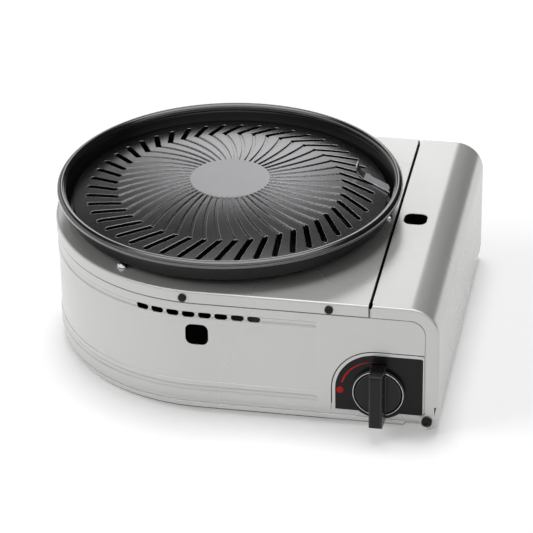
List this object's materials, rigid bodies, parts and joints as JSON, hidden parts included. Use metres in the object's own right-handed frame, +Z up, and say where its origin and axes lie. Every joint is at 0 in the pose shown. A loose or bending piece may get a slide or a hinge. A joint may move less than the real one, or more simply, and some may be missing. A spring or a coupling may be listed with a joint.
{
  "type": "tabletop gas grill",
  "caption": "Compact D-shaped tabletop gas grill: silver casing, domed slotted plate in a round water tray, front control knob and hinged cartridge cover.",
  "frame": {"origin": "middle of the footprint on the table, under the feet", "axes": "+X to the cartridge cover on the right, -Y out of the front with the knob, +Z up"},
  "size_m": [0.302, 0.2778, 0.1251],
  "materials": {
    "casing_silver": "satin metallic paint",
    "bright_steel": "polished",
    "black_screw": "black oxide",
    "zinc_steel": "galvanised sheet",
    "rubber_black": "matt",
    "black_plastic": "fine grained",
    "ferrite": "matt sintered",
    "die_cast": "die cast",
    "brass": "turned",
    "burner_black": "heat-proof paint",
    "ignition_plastic": "moulded",
    "lead_sheath": "silicone sheath",
    "porcelain": "glazed",
    "electrode_steel": "heat tinted",
    "tray_coating": "satin non-stick coating",
    "plate_coating": "satin non-stick coating"
  },
  "bodies": {
    "casing": {"base_pan": "casing_silver", "side_wall": "casing_silver", "top_plate": "casing_silver", "control_bezel": "casing_silver", "tray_studs": "bright_steel", "skirt_screws": "black_screw", "pivot_screws": "black_screw", "foot_screws": "zinc_steel", "floor_screws": "zinc_steel", "partition": "zinc_steel", "receiver_plate": "zinc_steel", "burner_bracket": "zinc_steel", "cartridge_cradle": "zinc_steel", "mixing_tube": "zinc_steel", "feet": "rubber_black", "gas_seal": "rubber_black", "lead_grommet": "rubber_black", "knob_panel": "black_plastic", "receiver_magnets": "ferrite", "governor": "die_cast", "valve_body": "die_cast", "burner_bowl": "die_cast", "gas_nozzle": "brass", "burner_cap": "burner_black", "piezo_igniter": "ignition_plastic", "ignition_lead": "lead_sheath", "electrode_insulator": "porcelain", "electrode_pin": "electrode_steel"},
    "cover": {"cartridge_cover": "casing_silver"},
    "control": {"knob": "black_plastic", "knob_ring": "bright_steel", "knob_spindle": "brass"},
    "tray": {"water_tray": "tray_coating"},
    "plate": {"grill_plate": "plate_coating", "lifting_tab": "bright_steel"}
  },
  "joints": [
    {"name": "knob_turn", "type": "hinge", "parent": "casing", "child": "control", "pos_m": [0.1085, -0.12, 0.032], "axis": [0, -1, 0], "range_deg": [0, 90]},
    {"name": "cover_hinge", "type": "hinge", "parent": "casing", "child": "cover", "pos_m": [0.143, 0, 0.0103], "axis": [0, 1, 0], "range_deg": [0, 90]},
    {"name": "tray_lift", "type": "slide", "parent": "casing", "child": "tray", "axis": [0, 0, 1], "range_m": [0, 0.05]},
    {"name": "plate_lift", "type": "slide", "parent": "tray", "child": "plate", "axis": [0, 0, 1], "range_m": [0, 0.04]}
  ]
}
